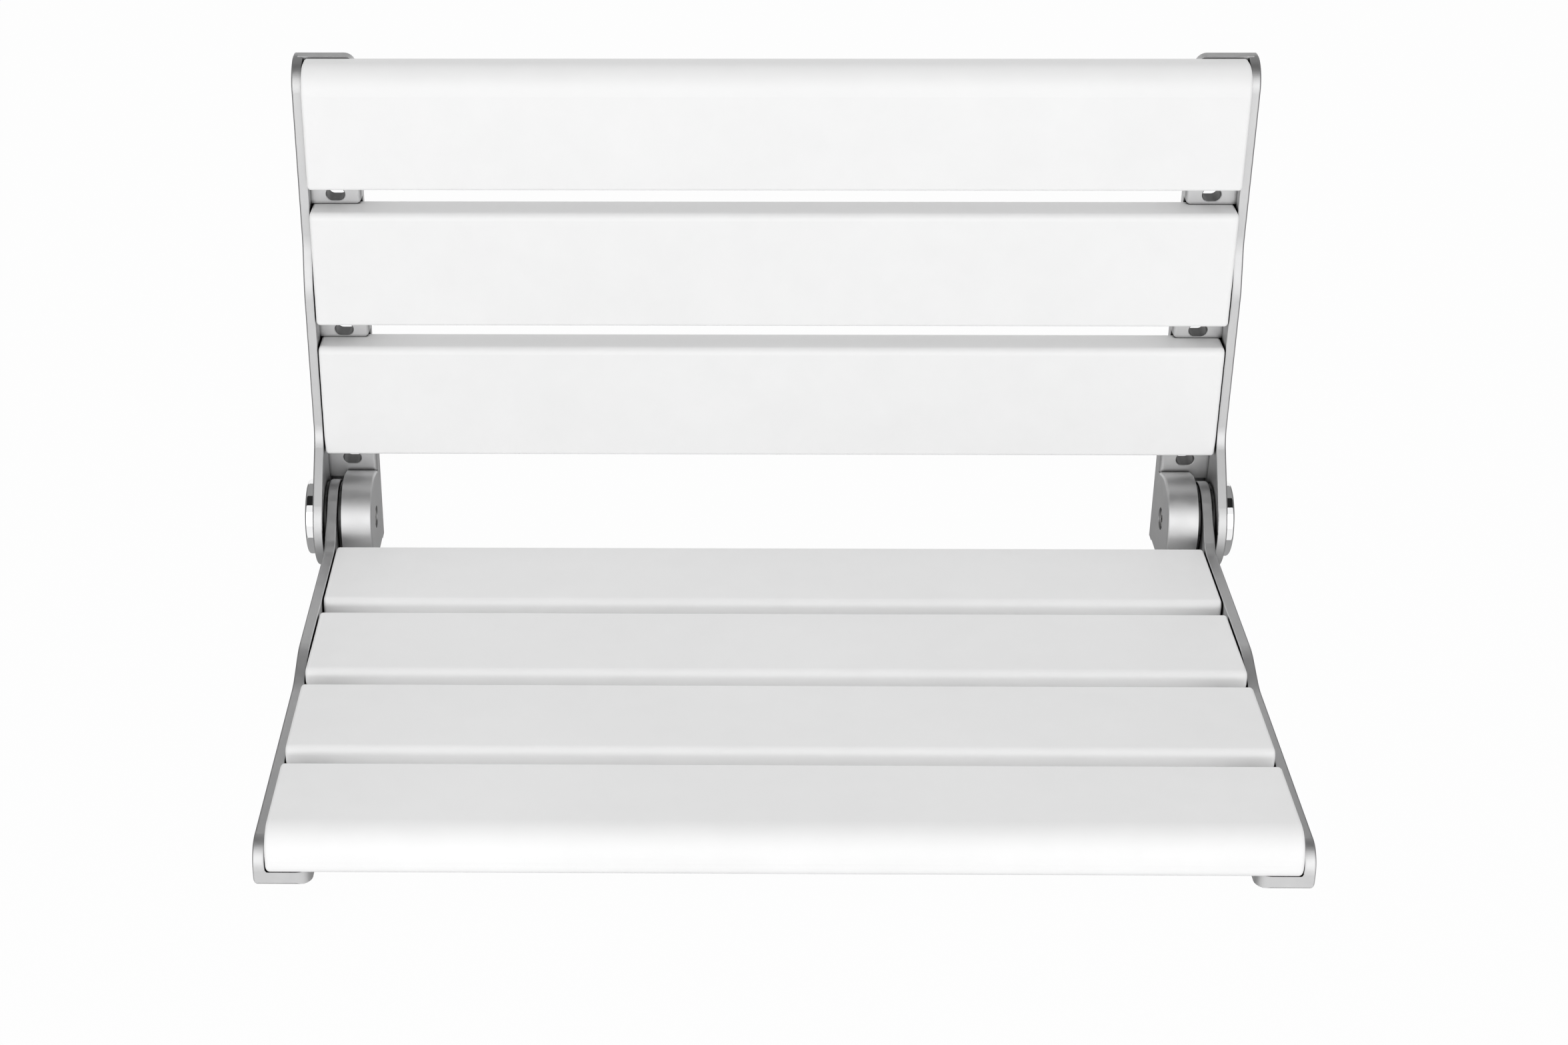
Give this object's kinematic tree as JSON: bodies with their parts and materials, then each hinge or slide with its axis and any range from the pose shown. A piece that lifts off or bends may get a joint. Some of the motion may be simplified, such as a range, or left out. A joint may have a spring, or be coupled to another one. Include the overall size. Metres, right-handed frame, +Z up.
{
  "type": "folding wall seat",
  "caption": "Wall-mounted fold-up shower seat with a slatted seat and slatted back, cast side frames and round friction hinges.",
  "frame": {"origin": "centre of the rectangle of the four outer wall slots, on the wall plane", "axes": "+X to the sitter's left when seated, seen as right from the front; +Y into the wall, so the front faces -Y; +Z up"},
  "size_m": [0.65, 0.449, 0.364],
  "materials": {
    "slat_plastic": "smooth white moulded plastic with a soft satin sheen",
    "cast_aluminium": "satin blasted die-cast aluminium",
    "chrome_cap": "polished chrome",
    "black_plastic": "black moulded plastic",
    "bush_plastic": "dark grey moulded plastic",
    "stainless": "plain stainless steel"
  },
  "bodies": {
    "wall_frame": {"back_frame_left": "cast_aluminium", "back_frame_right": "cast_aluminium", "back_screw_bottom_high_left": "stainless", "back_screw_bottom_high_right": "stainless", "back_screw_bottom_low_left": "stainless", "back_screw_bottom_low_right": "stainless", "back_screw_middle_high_left": "stainless", "back_screw_middle_high_right": "stainless", "back_screw_middle_low_left": "stainless", "back_screw_middle_low_right": "stainless", "back_screw_top_high_left": "stainless", "back_screw_top_high_right": "stainless", "back_screw_top_low_left": "stainless", "back_screw_top_low_right": "stainless", "back_slat_bottom": "slat_plastic", "back_slat_middle": "slat_plastic", "back_slat_top": "slat_plastic", "pivot_cap_left": "chrome_cap", "pivot_cap_right": "chrome_cap", "pivot_pin_left": "stainless", "pivot_pin_right": "stainless", "pivot_screw_left": "stainless", "pivot_screw_right": "stainless", "washer_inner_left": "black_plastic", "washer_inner_right": "black_plastic", "washer_outer_left": "black_plastic", "washer_outer_right": "black_plastic"},
    "seat": {"pivot_bush_left": "bush_plastic", "pivot_bush_right": "bush_plastic", "seat_arm_left": "cast_aluminium", "seat_arm_right": "cast_aluminium", "seat_screw_front_front_left": "stainless", "seat_screw_front_front_right": "stainless", "seat_screw_front_rear_left": "stainless", "seat_screw_front_rear_right": "stainless", "seat_screw_inner_front_left": "stainless", "seat_screw_inner_front_right": "stainless", "seat_screw_inner_rear_left": "stainless", "seat_screw_inner_rear_right": "stainless", "seat_screw_middle_front_left": "stainless", "seat_screw_middle_front_right": "stainless", "seat_screw_middle_rear_left": "stainless", "seat_screw_middle_rear_right": "stainless", "seat_screw_rear_front_left": "stainless", "seat_screw_rear_front_right": "stainless", "seat_screw_rear_rear_left": "stainless", "seat_screw_rear_rear_right": "stainless", "seat_slat_front": "slat_plastic", "seat_slat_inner": "slat_plastic", "seat_slat_middle": "slat_plastic", "seat_slat_rear": "slat_plastic"}
  },
  "joints": [
    {"name": "seat_fold", "type": "hinge", "parent": "wall_frame", "child": "seat", "pos_m": [0, -0.0365, -0.134], "axis": [-1, 0, 0], "range_deg": [0, 90]}
  ]
}
